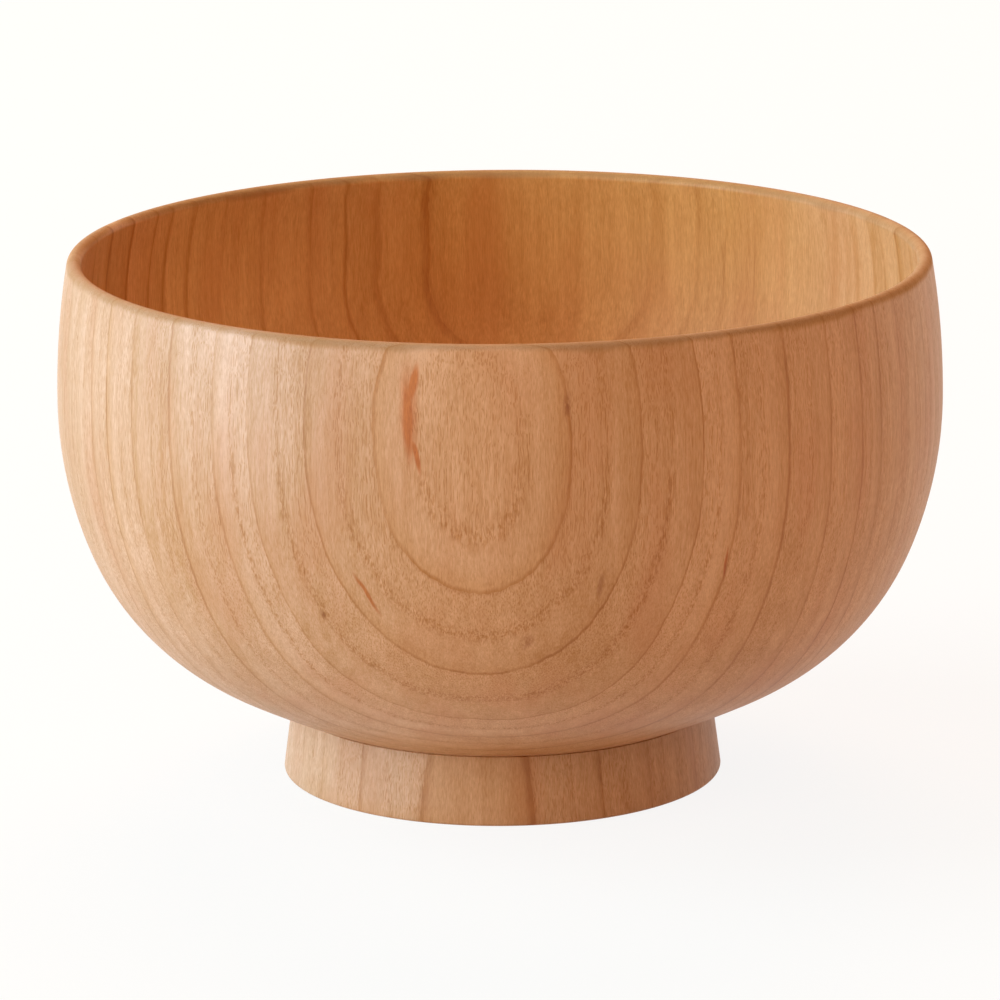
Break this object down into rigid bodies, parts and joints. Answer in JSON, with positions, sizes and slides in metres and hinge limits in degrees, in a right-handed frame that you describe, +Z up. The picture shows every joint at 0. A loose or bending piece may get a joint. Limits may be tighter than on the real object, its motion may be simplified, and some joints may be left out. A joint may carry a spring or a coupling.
{
  "type": "soup bowl",
  "caption": "Deep turned cherry-wood soup bowl with a thin rounded lip, full belly and a low flared foot ring, clear natural finish.",
  "frame": {"origin": "centre of the foot ring's underside, on the surface that the bowl stands on", "axes": "+Z up along the bowl's turning axis, -Y towards the side with the arched grain figure, +X to the right of it"},
  "size_m": [0.12, 0.12, 0.072],
  "materials": {
    "cherry_wood": "satin clear coat",
    "foot_wood": "satin clear coat"
  },
  "bodies": {
    "root": {"bowl_body": "cherry_wood", "foot_ring": "foot_wood"}
  },
  "joints": []
}
